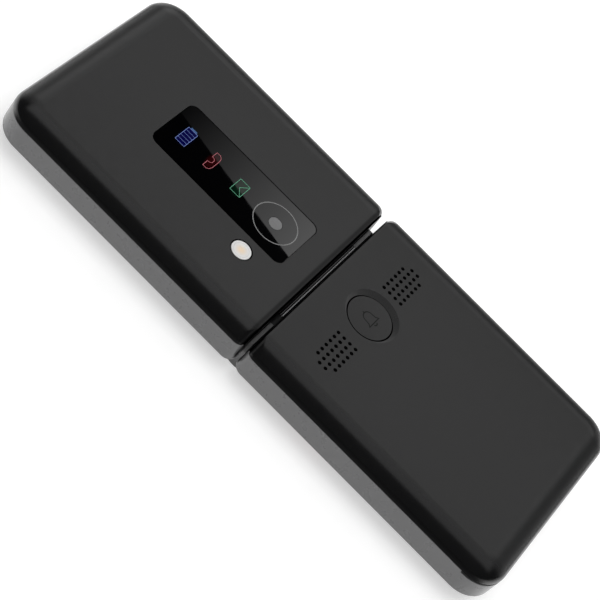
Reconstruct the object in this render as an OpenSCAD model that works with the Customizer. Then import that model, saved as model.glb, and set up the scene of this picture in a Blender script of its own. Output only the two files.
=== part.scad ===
// Flip phone, opened flat and lying on its keypad and screen.
// X is the width, +Y points to the lid's far end, +Z points out of the two backs.
// The hinge axis runs along X through y = 0. Every piece of a half is drawn on the +Y side,
// and the base's pieces are mirrored over to -Y.

/* [Halves] */
// Width of both halves
body_w = 57.5; // [55:0.5:62]
// Reach of each half, from the hinge axis to its far end
half_reach = 67.5; // [65:0.5:74]
// Thickness of each half
half_t = 8.3; // [8.2:0.1:9.5]
// Gap between the two end walls at the inner face
hinge_gap = 0.7; // [0.5:0.05:1.1]
// How far each end wall leans back from the inner face to the back
end_lean = 0.6; // [0.2:0.05:0.9]
// Broken edge along the back edge of each end wall
end_chamfer = 0.3; // [0.1:0.05:0.5]
// Plan radius of the corners beside the hinge
near_r = 2.4; // [1.8:0.1:2.8]
// Plan radius of the far corners
far_r = 6.8; // [6.5:0.1:8.5]
// Wall of the two frames
frame_wall = 1.6; // [1.3:0.05:1.8]

/* [Covers] */
// How far in the rounded rim of a cover reaches
rim_inset = 5.4; // [4.6:0.1:6]
// How far down the rounded rim of a cover reaches
rim_drop = 2.9; // [2.6:0.1:3.1]
// Small radius at the foot of the rim, where it meets the band
rim_foot_r = 1.65; // [1.5:0.05:2]
// Wall of the two covers
cover_wall = 1.1; // [0.9:0.05:1.2]
// Seam between a cover and its frame
seam = 0.05; // [0.03:0.01:0.1]
// Length of a cover's snap tab
tab_l = 4; // [3:0.5:5]
// Thickness of a cover's snap tab
tab_t = 0.8; // [0.6:0.05:0.9]
// How far a snap tab reaches down inside the frame
tab_drop = 1.2; // [0.8:0.1:1.3]
// Stations of the snap tabs along the half, as shares of its reach
tab_stations = [0.2, 0.62, 0.81];
// Distance of the far snap tabs from the middle
tab_far_x = 14; // [12:0.5:16]

/* [Pry notch] */
// Length of the pry notch along the side
notch_l = 7.4; // [6:0.2:9]
// Height of the pry notch in the band's edge
notch_h = 0.55; // [0.4:0.05:0.7]
// Depth of the pry notch into the band's wall
notch_depth = 0.9; // [0.6:0.05:1]

/* [Hinge] */
// Radius of the hinge barrel
barrel_r = 4.14; // [3.9:0.02:4.3]
// Length of the whole barrel
barrel_l = 48; // [46:0.5:49]
// How far the hinge axis lies below the inner faces
axis_drop = 0.6; // [0.5:0.05:0.9]
// Length of the base knuckle that holds the cam
cam_knuckle_l = 7.8; // [7.4:0.1:8.6]
// Length of the base knuckle that holds the hollow pivot
pivot_knuckle_l = 7.1; // [7:0.1:8]
// Length of the dark collar beside the cam knuckle
collar_l = 3.5; // [3:0.1:4]
// Radius of the collar
collar_r = 4; // [3.7:0.05:4.1]
// Radial clearance round the barrel where the other half passes it
trough_clear = 0.25; // [0.2:0.05:0.35]
// Wall behind the barrel in each frame
trough_wall = 1; // [0.8:0.05:1.1]
// Bore of the centre barrel
barrel_bore_r = 2.9; // [2.8:0.02:3]
// Radius of the cam plug in its knuckle
cam_r = 2.4; // [2.2:0.05:2.6]
// Radius of the nose that the cam turns on
nose_r = 1.4; // [1.2:0.05:1.6]
// Wall of the hollow pivot
pivot_wall = 0.4; // [0.35:0.02:0.45]
// Radial running clearance of the cam's nose and of the pivot
running_clear = 0.05; // [0.03:0.01:0.08]
// Gap between the faces of neighbouring knuckles
knuckle_gap = 0.1; // [0.08:0.01:0.15]
// Width of a lug that locks the barrel into the lid
lug_w = 4; // [3:0.2:5]
// Height of a lug
lug_h = 1.6; // [1.2:0.1:1.8]

/* [Keypad] */
// Thickness of the keypad panel
panel_t = 1.2; // [1:0.05:1.3]
// How far the keys stand proud of the panel
key_proud = 0.45; // [0.3:0.05:0.5]
// Radius of the crown across each key
key_crown_r = 60; // [40:5:120]
// Corner radius of the keys
key_corner_r = 1.6; // [1:0.1:2]
// Travel of every key
key_travel = 0.25; // [0.2:0.01:0.28]
// Clearance round each key in its opening
key_clear = 0.15; // [0.1:0.01:0.2]
// Flange that keeps each key behind the panel
key_flange = 0.45; // [0.3:0.05:0.5]
// Thickness of that flange
key_flange_t = 0.35; // [0.3:0.05:0.4]
// Space between two columns of keys
key_gap = 1.8; // [1.4:0.1:2.2]
// Space between two rows of keys
row_gap = 1.3; // [1.2:0.1:1.6]
// Border from the frame's inner wall to the outer keys
panel_border = 2.2; // [1.9:0.1:2.8]
// Space kept at the far end of the panel for the port
panel_foot = 6.3; // [6.2:0.1:8]
// Radius of the navigation ring
nav_r = 8.2; // [7.6:0.1:8.6]
// Radius of the OK key
ok_r = 3.6; // [3:0.1:4]
// Space before the navigation ring
nav_margin = 3.5; // [3:0.1:4.5]
// Space between the navigation ring and the digits
nav_gap = 2.6; // [2:0.1:3]
// Space between the navigation ring and the keys beside it
side_gap = 3; // [2.4:0.1:4]
// Space kept at the hinge end for the screws
screw_zone = 3.5; // [3.4:0.1:4]
// Height of the snap domes under the keys
dome_h = 0.2; // [0.15:0.01:0.25]
// Radius of a snap dome
dome_r = 2; // [1.6:0.1:2.2]

/* [Alert button] */
// Distance of the button's centre from the hinge axis
alert_y = 12.9; // [12.4:0.1:14]
// Radius of the opening in the battery cover
alert_hole_r = 5.5; // [5:0.1:5.6]
// Radius of the finger dish at the opening
dish_r = 6.4; // [6.2:0.1:6.8]
// How far the dish lies to one side of the opening
dish_shift = 1; // [0.8:0.1:1.2]
// Depth of the dish at the opening's edge
dish_depth = 0.35; // [0.25:0.05:0.45]
// How far the button lies below the back
alert_set = 0.1; // [0.05:0.05:0.3]
// Gap round the button
alert_gap = 0.2; // [0.12:0.01:0.22]
// Travel of the button
alert_travel = 0.3; // [0.2:0.02:0.35]
// Thickness of the button's hidden flange
alert_flange_t = 0.5; // [0.4:0.05:0.6]

/* [Speaker grilles] */
// Pitch of the grille holes
grille_pitch = 1.61; // [1.55:0.01:1.65]
// Radius of a grille hole
grille_hole_r = 0.43; // [0.36:0.01:0.46]
// Rows of holes
grille_rows = 4; // [4:1:4]
// Full columns of holes
grille_cols = 6; // [5:1:6]
// Distance of the first column from the middle
grille_x = 9.4; // [9:0.1:9.8]
// Width of a loudspeaker
speaker_w = 11.4; // [11:0.1:11.8]
// Length of a loudspeaker
speaker_l = 9.4; // [9:0.1:9.8]
// Thickness of a loudspeaker
speaker_t = 2.6; // [2.4:0.05:2.65]

/* [Base inside] */
// Thickness of the two circuit boards
board_t = 0.6; // [0.5:0.05:0.7]
// Width of the ledge between the keypad panel and the board
ledge_w = 0.9; // [0.7:0.05:1]
// How far the battery tray's floor stands above the SIM socket
tray_floor = 0.1; // [0.05:0.05:0.2]
// Width of the battery
battery_w = 40; // [36:0.5:44]
// Distance of the battery's hinge end from the axis
battery_y = 21.7; // [21.5:0.1:23]
// Clearance round the battery
battery_clear = 0.2; // [0.1:0.05:0.3]
// Width of the SIM socket
sim_w = 10.4; // [10:0.1:10.6]
// Length of the SIM socket
sim_l = 14; // [13:0.5:15]
// Thickness of the SIM socket, which lies on the board under the battery
sim_t = 1.2; // [1.1:0.05:1.3]
// Width of the charging port
usb_w = 8.94; // [8.9:0.02:9]
// Height of the charging port
usb_h = 3.2; // [3.1:0.02:3.26]
// Depth of the charging port
usb_l = 6.4; // [6:0.1:6.4]
// Length of the volume key
volume_l = 14; // [12:0.5:15]
// Height of the volume key
volume_h = 1.8; // [1.6:0.1:1.9]
// Distance of the volume key's middle from the hinge axis
volume_y = 26; // [25:0.5:28]
// Tilt that the volume key needs room for, in degrees each way
volume_tilt = 2.5; // [2:0.1:2.8]
// Radius of the base screws
screw_r = 0.7; // [0.6:0.02:0.75]
// Radius of the screw heads
screw_head_r = 1.2; // [1.1:0.05:1.25]
// Radius of the screw bosses
boss_r = 1.3; // [1.25:0.01:1.35]
// Distance of the screws beside the hinge from the middle
near_screw_x = 22.5; // [22.3:0.1:23]
// Distance of the far screws from the middle
far_screw_x = 21.5; // [21:0.1:22]

/* [Outer window] */
// Width of the outer window
window_w = 15.8; // [15:0.1:16.5]
// Distance of the window's hinge edge from the axis
window_y0 = 7.42; // [7.2:0.02:8]
// Length of the outer window
window_l = 36.9; // [35:0.1:38]
// Corner radius of the outer window
window_r = 1.9; // [1.4:0.1:2.4]
// Thickness of the outer window
window_t = 0.8; // [0.7:0.05:0.9]
// Gap round the outer window
window_gap = 0.15; // [0.1:0.01:0.2]
// Width of the ledge that the window is glued to
window_ledge = 1; // [0.8:0.05:1.2]
// Radius of the camera lens
lens_r = 1.55; // [1.4:0.05:1.8]
// Distance of the camera from the window's hinge edge
camera_inset = 6.92; // [6.6:0.02:7.2]
// Distance of the flash from the middle
flash_x = 12.3; // [12:0.1:12.8]
// Distance of the flash from the hinge axis
flash_y = 14.85; // [14:0.05:16]
// Radius of the flash lens
flash_r = 2.27; // [2.1:0.01:2.4]
// Gap round the flash lens
flash_gap = 0.15; // [0.1:0.01:0.2]
// Pitch of the three indicator lights
indicator_pitch = 7.6; // [7.2:0.1:8]

/* [Screen] */
// Width of the display window
glass_w = 46.6; // [46:0.1:47]
// Distance of the display window's hinge edge from the axis
glass_y0 = 6.9; // [6.6:0.1:7.1]
// Border from the frame's inner wall to the display window's far edge
glass_foot = 1.5; // [1.3:0.1:2]
// Corner radius of the display window
glass_r = 3; // [2.5:0.1:4]
// Thickness of the display window
glass_t = 0.9; // [0.8:0.05:1]
// Thickness of the lid's inner deck
deck_t = 1.6; // [1.5:0.05:1.7]
// Width of the display panel
lcd_w = 42.7; // [42:0.1:43]
// Length of the display panel
lcd_l = 45.5; // [44:0.1:50]
// Thickness of the display panel
lcd_t = 1.9; // [1.7:0.05:1.95]
// Width of the earpiece receiver
receiver_w = 12; // [10:0.5:13]
// Length of the earpiece receiver
receiver_l = 4.2; // [3.8:0.1:4.3]
// Width of the earpiece slot
earpiece_w = 9; // [8:0.5:10]
// Height of the earpiece slot
earpiece_h = 1.2; // [1:0.1:1.4]
// Distance of the lid screws from the middle
lid_screw_x = 25.3; // [25.2:0.05:25.5]
// Distance of the first pair of lid screws from the axis
lid_screw_y = 12.5; // [12:0.5:14]
// Radius of the rubber bumpers
bumper_r = 1.5; // [1.4:0.05:1.6]
// How far the bumpers stand proud of the inner face
bumper_proud = 0.5; // [0.4:0.05:0.6]
// Radius of the vibration motor
motor_r = 4; // [3.5:0.1:4.5]

/* [Hidden] */
$fn = 64;
eps = 0.01;
// Fit between two pieces that are pushed together by hand
fit = 0.05;
// Flats that turn a cover's corner beside the hinge
corner_flats = 6;
// Height above the rim's foot at which that corner leans in beside the rim, and its plan radius there
corner_touch = 1.5;
corner_r = 2.6;
corner_clear = 0.06;

// Heights
z_axis = barrel_r;
z_in = z_axis + axis_drop;
z_back = z_in + half_t;
z_rim = z_back - rim_drop;
z_roof = z_back - cover_wall;
z_panel = z_in + panel_t;
z_flange = z_panel + fit;
z_key_top = z_flange + key_flange_t;
z_dome = z_key_top + key_travel + fit;
z_sheet = z_dome + dome_h;
sheet_t = 0.1;
z_board = z_sheet + sheet_t;
z_board_top = z_board + board_t;
z_tray = z_board_top + sim_t + tray_floor;
z_screw_seat = z_board_top + 0.5;
z_tray_rim = z_rim - tab_drop - 0.3;
battery_t = z_roof - 0.25 - z_tray - fit;

// Plan
half_w = body_w / 2;
near_y = hinge_gap / 2;
wall_x = half_w - frame_wall;
wall_y = half_reach - frame_wall;
barrel_x = barrel_l / 2;
trough_r = barrel_r + trough_clear;
trough_out = trough_r + trough_wall;
deck_y = trough_out + 0.2;

// Hinge stations along X
cam_face = -barrel_x + cam_knuckle_l;
pivot_face = barrel_x - pivot_knuckle_l;
collar_x0 = cam_face + knuckle_gap;
collar_x1 = collar_x0 + collar_l - knuckle_gap;
centre_x0 = collar_x1 + knuckle_gap;
centre_x1 = pivot_face - knuckle_gap;
pivot_r = barrel_bore_r - running_clear;
pivot_bore_r = pivot_r - pivot_wall;
centre_l = centre_x1 - centre_x0;
cartridge_share = 0.51;
pivot_share = 0.21;
flex_share = 0.2;
pivot_grip = 1.1;
cartridge_l = cartridge_share * centre_l;
cartridge_x1 = centre_x0 + cartridge_l;
pivot_x0 = centre_x1 - pivot_share * centre_l;
pivot_x1 = pivot_face + pivot_grip;

// Flex cable inside the barrel
flex_t = 0.25;
base_coil_r = pivot_bore_r - 0.15;
lid_coil_r = barrel_bore_r - 0.15;
lid_flex_x0 = cartridge_x1 + 0.5;
lid_flex_w = flex_share * centre_l;
base_flex_x0 = lid_flex_x0 + 1;
base_tail_x0 = pivot_x1 + 0.3;
base_tail_w = 2.6;
flex_room = 0.15;
flex_slit_y = 1.2;

// Keypad layout
key_edge_x = wall_x - panel_border;
key_w = (2 * key_edge_x - 2 * key_gap) / 3;
col_pitch = key_w + key_gap;
nav_y = deck_y + nav_margin + nav_r;
keys_y0 = nav_y + nav_r + nav_gap;
keys_y1 = wall_y - panel_foot;
key_l = (keys_y1 - keys_y0 - 3 * row_gap) / 4;
row_pitch = key_l + row_gap;
side_x0 = nav_r + side_gap;
side_w = key_edge_x - side_x0;
side_x = (key_edge_x + side_x0) / 2;
side_y0 = deck_y + screw_zone;
side_l = (nav_y + nav_r - side_y0 - row_gap) / 2;
ok_step = z_panel - key_travel - fit;

// Base screws
near_screw_y = deck_y + boss_r + 0.2;
far_screw_y = wall_y - boss_r - 2.2;
base_screws_at = [
  [near_screw_x, near_screw_y],
  [-near_screw_x, near_screw_y],
  [far_screw_x, far_screw_y],
  [-far_screw_x, far_screw_y]
];
screw_head_t = 0.7;
screw_socket_r = 0.45;
screw_tip = 0.6;

// Battery bay
bay_inset = 4.2;
battery_y1 = half_reach - usb_l - 0.6;
battery_r = 1.5;
sim_y0 = battery_y + 2.3;
sim_rail = 1;
sim_floor = 0.25;
sim_slot_t = 0.7;
sim_way = 9;
contacts_w = 12;
contacts_l = 3;
contacts_t = 2.2;
contact_w = 0.9;
contacts_y0 = battery_y - battery_clear - contacts_l;

// Loudspeakers and alert button
speaker_x = grille_x + grille_cols * grille_pitch / 2;
speaker_r = 1;
speaker_rim = 0.8;
speaker_front = 0.5;
cone_r = 3.4;
cap_r = 2;
cone_h = 0.3;
speaker_z1 = z_roof - 0.35;
speaker_z0 = speaker_z1 - speaker_t;
mesh_t = 0.2;
alert_top = z_back - alert_set;
dish_foot_r = alert_hole_r - dish_shift;
dish_slope = (dish_r - dish_foot_r) / dish_depth;
alert_r = alert_hole_r - alert_gap;
alert_flange_r = alert_hole_r + 0.4;
alert_flange_top = z_roof - fit;
alert_stem_r = 1.5;
alert_stem_h = 0.3;
alert_bottom = alert_flange_top - alert_flange_t - alert_stem_h;
switch_top = alert_bottom - alert_travel - fit;
switch_h = 1.6;
switch_w = 6;
switch_cap_r = 1.7;
switch_cap_h = 0.4;

// Shield cans beside the alert switch, and small clearances inside the base
can_x0 = alert_flange_r + 1.2;
can_x1 = near_screw_x - boss_r - 0.3;
can_x = (can_x0 + can_x1) / 2;
can_w = can_x1 - can_x0;
can_y0 = deck_y + 2.3;
can_y1 = battery_y - 2.2;
can_y = (can_y0 + can_y1) / 2;
can_l = can_y1 - can_y0;
can_t = 1.1;
can_r = 0.5;
pocket_clear = 0.1;
screw_clear = 0.15;

// Charging port, microphone and volume key
usb_z0 = z_panel + 0.06;
usb_z = usb_z0 + usb_h / 2;
usb_y1 = half_reach - 0.4;
usb_y0 = usb_y1 - usb_l;
usb_shell = 0.3;
usb_clear = 0.15;
usb_back = 1;
usb_tongue_w = 6.7;
usb_tongue_t = 0.7;
mic_x = 15.5;
mic_w = 3.6;
mic_l = 2.8;
mic_hole_r = 0.4;
mic_y = wall_y - ledge_w - mic_l / 2 - 0.6;
volume_z = z_board_top + 0.1 + volume_h / 2;
volume_clear = 0.15;
volume_flange = 0.8;
volume_flange_t = 0.6;
volume_swing = (volume_l / 2 + volume_flange) * sin(volume_tilt);
volume_flange_x = wall_x - volume_swing - fit;
volume_switch_x = volume_flange_x - volume_flange_t - volume_swing;
volume_switch_l = 3;
volume_switch_t = 1.5;
volume_room = 1.2;
volume_room_x = volume_switch_x - volume_switch_t - pocket_clear;

// How far a snap tab and a screw boss reach up into the cover, and the solid left over a tab
tab_root = 1;
tab_post = 1.7;

// Lid
window_yc = window_y0 + window_l / 2;
window_top = z_back - 0.05;
window_seat = window_top - window_t;
window_frame = 1.6;
window_frame_t = 0.7;
camera_y = window_y0 + camera_inset;
glass_y1 = wall_y - glass_foot;
glass_yc = (glass_y0 + glass_y1) / 2;
glass_seat = z_in + fit + glass_t;
z_lcd = glass_seat + fit;
z_lcd_top = z_lcd + lcd_t;
lcd_y0 = glass_y0 + 0.7;
lcd_x = lcd_w / 2;
earpiece_edge = 1.3;
z_lid_board = z_lcd_top + 0.06;
z_lid_board_top = z_lid_board + board_t;
lid_board_y0 = deck_y + 0.6;
lid_board_x = 23.2;
lid_board_cut = 6;
receiver_y = glass_y1 - earpiece_h / 2 - earpiece_edge;
receiver_t = 2.2;
lid_board_y1 = receiver_y - receiver_l / 2 - 0.6;
lid_screw_far = half_reach - far_r - 2.6;
lid_post_r = 1.9;
lid_post_top = z_rim - tab_drop - 0.2;
lid_boss_r = lid_post_r - 0.2;
lid_boss_h = z_rim + tab_root - lid_post_top;
lid_screw_bite = 1.6;
lid_head_z = z_in + 1.02;
bumper_depth = 1;
indicator_y0 = camera_y + 10.3;
mask_w = 12.6;
mask_end = 3.2;
flash_flange = 0.45;
flash_flange_t = 0.5;
flash_led_w = 3;
flash_led_gap = 0.2;
led_w = 3.2;
led_l = 1.6;
led_t = 0.7;
light_w = 7.6;
light_l = 5;
light_r = 0.8;
camera_w = 8.4;
camera_neck = 1.2;
camera_neck_r = 3.3;
motor_t = 2.5;
motor_side = 1.5;

// ---- Outlines shared by both halves ----

module round_rect(w, l, r) {
  square([w - 2 * r, l], center = true);
  square([w, l - 2 * r], center = true);
  for (sx = [-1, 1], sy = [-1, 1])
    translate([sx * (w / 2 - r), sy * (l / 2 - r)]) circle(r);
}

module pie(r, from, to) {
  intersection() {
    circle(r);
    polygon([[0, 0], for (a = [from, (from + to) / 2, to]) 2 * r * [cos(a), sin(a)]]);
  }
}

// Plan of a half, drawn in by inset
module half_plan(inset) {
  w = half_w - inset;
  y0 = near_y + inset;
  y1 = half_reach - inset;
  rn = max(near_r - inset, 0.3);
  rf = max(far_r - inset, 0.5);
  translate([-w, y0 + rn]) square([2 * w, y1 - rf - y0 - rn]);
  translate([-w + rn, y0]) square([2 * (w - rn), rn]);
  translate([-w + rf, y1 - rf]) square([2 * (w - rf), rf]);
  for (s = [-1, 1]) {
    translate([s * (w - rn), y0 + rn]) circle(rn);
    translate([s * (w - rf), y1 - rf]) circle(rf);
  }
}

module half_slab(inset, z0, z1) {
  translate([0, 0, z0]) linear_extrude(z1 - z0) half_plan(inset);
}

// Everything on the half's side of its leaning end wall, between two heights
module end_slab(inset, chamfer, z0, z1) {
  y0 = near_y + inset;
  lean = end_lean / half_t;
  y_low = y0 + lean * (z0 - z_in);
  y_high = y0 + lean * (z1 - z_in);
  y_far = half_reach + 1;
  rotate([90, 0, 90])
    linear_extrude(body_w + 2, center = true)
      polygon([
        [y_low, z0],
        [y_high - lean * chamfer, z1 - chamfer],
        [y_high + chamfer, z1],
        [y_far, z1],
        [y_far, z0]
      ]);
}

// Rim of a cover in section: x runs in from the side, y up from the rim's foot. Two arcs that meet
// in line carry the outline from the upright band to the flat back.
rim_top_r = (pow(rim_inset - rim_foot_r, 2) + pow(rim_drop, 2) - pow(rim_foot_r, 2))
            / (2 * (rim_drop - rim_foot_r));
rim_join = 180 - atan((rim_top_r - rim_drop) / (rim_inset - rim_foot_r));

module rim_section(inset, run, below) {
  translate([rim_foot_r, 0]) pie(rim_foot_r - inset, rim_join, 180);
  intersection() {
    translate([rim_inset, rim_drop - rim_top_r]) pie(rim_top_r - inset, 90, rim_join);
    square([rim_inset, rim_drop]);
  }
  translate([rim_inset, 0]) square([run - rim_inset, rim_drop - inset]);
  if (below > 0) translate([inset, -below]) square([run - inset, below]);
}

// Pillow shape of a cover, drawn in by inset and carried down below the rim
module pillow(inset, below) {
  corner_y = half_reach - far_r;
  corner_x = half_w - far_r;
  translate([0, 0, z_rim]) {
    for (side = [0, 1])
      mirror([side, 0, 0])
        translate([-half_w, corner_y, 0])
          rotate([90, 0, 0]) linear_extrude(corner_y - near_y) rim_section(inset, half_w, below);
    rotate([90, 0, 90])
      linear_extrude(2 * corner_x, center = true)
        translate([half_reach, 0]) mirror([1, 0]) rim_section(inset, far_r, below);
    for (side = [0, 1])
      mirror([side, 0, 0])
        translate([corner_x, corner_y, 0])
          rotate_extrude(angle = 90)
            translate([far_r, 0]) mirror([1, 0]) rim_section(inset, far_r, below);
  }
}

// Cuts the two corners beside the hinge, each turned in a few flats
module near_clip(z0, z1) {
  cx = half_w - near_r;
  cy = near_y + near_r;
  turn = 90 / corner_flats;
  translate([0, 0, z0])
    linear_extrude(z1 - z0)
      polygon([
        [-half_w - 1, half_reach + 1],
        [-half_w - 1, cy],
        for (a = [0 : turn : 90]) [-cx - near_r * cos(a), cy - near_r * sin(a)],
        for (a = [90 : -turn : 0]) [cx + near_r * cos(a), cy - near_r * sin(a)],
        [half_w + 1, cy],
        [half_w + 1, half_reach + 1]
      ]);
}

// What the same corners lose higher up, where the rounded rim carries them inwards
module near_lean_cuts() {
  rim_lift = rim_top_r - rim_drop + corner_touch;
  run = rim_inset - sqrt(pow(rim_top_r, 2) - pow(rim_lift, 2));
  lean = atan(rim_lift / (rim_inset - run));
  reach = corner_r * cos(lean);
  y0 = near_y + end_lean;
  turn = 90 / corner_flats;
  for (side = [0, 1])
    mirror([side, 0, 0])
      translate([half_w - run + corner_clear, 0, z_rim + corner_touch])
        rotate([0, -lean, 0])
          linear_extrude(2 * rim_inset, center = true)
            polygon([
              for (a = [0 : turn : 90]) [reach * (cos(a) - 1), y0 + corner_r * (1 - sin(a))],
              [-reach, y0 - corner_r],
              [rim_drop, y0 - corner_r],
              [rim_drop, y0 + corner_r]
            ]);
}

module cover_outside() {
  difference() {
    intersection() {
      pillow(0, 0);
      near_clip(z_rim - 1, z_back + 1);
      end_slab(0, end_chamfer, z_rim + seam, z_back);
    }
    near_lean_cuts();
  }
}

module cover_inside() {
  intersection() {
    pillow(cover_wall, 1);
    end_slab(cover_wall, 0, z_rim - 0.5, z_back);
  }
}

// Snap tabs: they hang from the cover just inside the frame's wall
module snap_tabs(z0, z1) {
  x1 = wall_x - 0.1;
  y1 = wall_y - 0.1;
  for (s = [-1, 1]) {
    for (share = tab_stations)
      translate([s * (x1 - tab_t / 2), share * half_reach, (z0 + z1) / 2])
        cube([tab_t, tab_l, z1 - z0], center = true);
    translate([s * tab_far_x, y1 - tab_t / 2, (z0 + z1) / 2])
      cube([tab_l, tab_t, z1 - z0], center = true);
  }
}

// Bar along X, centred on the hinge axis
module axis_bar(r, x0, x1) {
  translate([x0, 0, z_axis]) rotate([0, 90, 0]) cylinder(r = r, h = x1 - x0);
}

module axis_tube(r_out, r_in, x0, x1) {
  difference() {
    axis_bar(r_out, x0, x1);
    axis_bar(r_in, x0 - eps, x1 + eps);
  }
}

// Band of a half with the curved wall behind the barrel
module half_band() {
  difference() {
    intersection() {
      half_slab(0, z_in, z_rim);
      end_slab(0, 0, z_in, z_rim);
    }
    difference() {
      half_slab(frame_wall, z_in - 1, z_rim + 1);
      axis_bar(trough_out, -half_w, half_w);
    }
  }
}

module base_side() {
  mirror([0, 1, 0]) children();
}

// ---- Base ----

module ledge() {
  translate([0, 0, z_panel])
    linear_extrude(z_board - z_panel)
      difference() {
        half_plan(frame_wall - eps);
        half_plan(frame_wall + ledge_w);
        translate([-half_w, 0]) square([body_w, deck_y]);
      }
}

module usb_outline(grow) {
  round_rect(usb_w + 2 * grow, usb_h + 2 * grow, usb_h / 2 + grow - eps);
}

// Stadium bar along Y round the port's centre line
module usb_bar(grow, y0, y1) {
  translate([0, y1, usb_z]) rotate([90, 0, 0]) linear_extrude(y1 - y0) usb_outline(grow);
}

module volume_opening() {
  translate([wall_x - 0.5, volume_y, volume_z])
    rotate([0, 90, 0])
      linear_extrude(frame_wall + 1)
        round_rect(volume_h + 2 * volume_clear, volume_l + 2 * volume_clear,
                   volume_h / 2 + volume_clear - eps);
}

// Step in the band's edge at the corner, where a fingernail lifts the battery cover
module pry_notch() {
  difference() {
    translate([-half_w - 1, half_reach - notch_l, z_rim - notch_h])
      cube([far_r + 1.5, notch_l + 1, notch_h + 1]);
    half_slab(notch_depth, z_rim - notch_h - 1, z_rim + 2);
  }
}

module base_frame() color("#6c6c6e") base_side() {
  difference() {
    union() {
      half_band();
      ledge();
      axis_bar(barrel_r, -barrel_x, cam_face);
      axis_bar(barrel_r, pivot_face, barrel_x);
    }
    axis_bar(trough_r, cam_face, pivot_face);
    axis_bar(cam_r + fit / 2, cam_face - cam_knuckle_l + 1, cam_face + eps);
    axis_bar(pivot_r + fit / 2, pivot_face - eps, barrel_x - 1);
    usb_bar(usb_clear, usb_y0 - 1, half_reach + 1);
    volume_opening();
    pry_notch();
    translate([base_tail_x0 - flex_room, 0, z_axis + base_coil_r - flex_t - flex_room])
      cube([base_tail_w + 2 * flex_room, deck_y, flex_t + 2 * flex_room]);
  }
}

// Openings and keys are listed as they are seen from the keypad side: column 0 is at +X
function col_x(col) = (1 - col) * col_pitch;
function row_y(row) = keys_y0 + key_l / 2 + row * row_pitch;
function side_y(row) = side_y0 + side_l / 2 + row * (side_l + row_gap);
function side_sign(right) = right ? -1 : 1;

module key_openings() {
  for (col = [0 : 2], row = [0 : 3])
    translate([col_x(col), row_y(row)])
      round_rect(key_w + 2 * key_clear, key_l + 2 * key_clear, key_corner_r + key_clear);
  for (right = [false, true], row = [0, 1])
    translate([side_sign(right) * side_x, side_y(row)])
      round_rect(side_w + 2 * key_clear, side_l + 2 * key_clear, key_corner_r + key_clear);
  translate([0, nav_y]) circle(nav_r + key_clear);
}

module at_base_screws() {
  for (p = base_screws_at) translate([p[0], p[1], 0]) children();
}

module keypad_panel() color("#2a2a2c") base_side() {
  difference() {
    union() {
      translate([0, 0, z_in])
        linear_extrude(panel_t)
          difference() {
            half_plan(frame_wall + fit);
            translate([-half_w, 0]) square([body_w, deck_y]);
            key_openings();
            translate([mic_x, mic_y]) circle(mic_hole_r + 0.1);
          }
      at_base_screws() translate([0, 0, z_panel]) cylinder(r = boss_r, h = z_board - z_panel);
    }
    at_base_screws() translate([0, 0, z_in + 0.4]) cylinder(r = screw_r + 0.02, h = 4);
  }
}

// Key at the origin of its own plan: crowned face, body through the panel and flange behind it
module key_solid(w, l) {
  face_z = z_in - key_proud;
  intersection() {
    translate([0, 0, face_z]) linear_extrude(z_flange + eps - face_z) round_rect(w, l, key_corner_r);
    translate([0, 0, face_z + key_crown_r])
      rotate([90, 0, 0]) cylinder(r = key_crown_r, h = l + 1, center = true, $fn = 480);
  }
  translate([0, 0, z_flange])
    linear_extrude(key_flange_t) round_rect(w + 2 * key_flange, l + 2 * key_flange, key_corner_r);
}

module number_key(col, row) color("#1c1c1e") base_side()
  translate([col_x(col), row_y(row), 0]) key_solid(key_w, key_l);

module side_key(right, row) base_side()
  translate([side_sign(right) * side_x, side_y(row), 0]) key_solid(side_w, side_l);

module key_soft_left() color("#1c1c1e") side_key(false, 0);
module key_soft_right() color("#1c1c1e") side_key(true, 0);
module key_call() color("#1f6b3a") side_key(false, 1);
module key_end() color("#8c2222") side_key(true, 1);

module nav_ring() color("#3a3a3d") base_side() translate([0, nav_y, 0]) {
  face_z = z_in - key_proud;
  difference() {
    union() {
      translate([0, 0, face_z]) cylinder(r = nav_r, h = z_key_top - face_z);
      translate([0, 0, z_flange]) cylinder(r = nav_r + key_flange, h = key_flange_t);
    }
    translate([0, 0, face_z - 1]) cylinder(r = ok_r + key_clear, h = 5);
    translate([0, 0, ok_step]) cylinder(r = ok_r + key_flange + key_clear, h = 5);
  }
}

module key_ok() color("#1c1c1e") base_side() translate([0, nav_y, 0]) {
  face_z = z_in - key_proud;
  translate([0, 0, face_z]) cylinder(r = ok_r, h = z_key_top - face_z);
  translate([0, 0, z_flange]) cylinder(r = ok_r + key_flange, h = key_flange_t);
}

module dome_sheet() color("#b9a98a") base_side() {
  x1 = wall_x - ledge_w - 0.1;
  y0 = side_y0 - 0.3;
  y1 = keys_y1 + 0.4;
  nav_dome = (nav_r + ok_r) / 2;
  translate([-x1, y0, z_sheet]) cube([2 * x1, y1 - y0, sheet_t]);
  translate([0, 0, z_dome]) {
    for (col = [0 : 2], row = [0 : 3])
      translate([col_x(col), row_y(row), 0]) cylinder(r = dome_r, h = dome_h + eps);
    for (right = [false, true], row = [0, 1])
      translate([side_sign(right) * side_x, side_y(row), 0]) cylinder(r = dome_r, h = dome_h + eps);
    translate([0, nav_y, 0]) {
      cylinder(r = dome_r, h = dome_h + eps);
      for (turn = [0 : 90 : 270])
        rotate([0, 0, turn]) translate([nav_dome, 0, 0]) cylinder(r = dome_r / 2, h = dome_h + eps);
    }
  }
}

module main_board() color("#1f4d33") base_side() {
  translate([0, 0, z_board])
    linear_extrude(board_t)
      difference() {
        half_plan(frame_wall + fit);
        translate([-half_w, 0]) square([body_w, deck_y]);
        translate([0, half_reach - usb_l / 2 - 0.2])
          square([usb_w + 2 * usb_clear, usb_l + 2 * usb_clear + 0.4], center = true);
        for (p = base_screws_at) translate(p) circle(screw_r + 0.1);
      }
}

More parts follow.
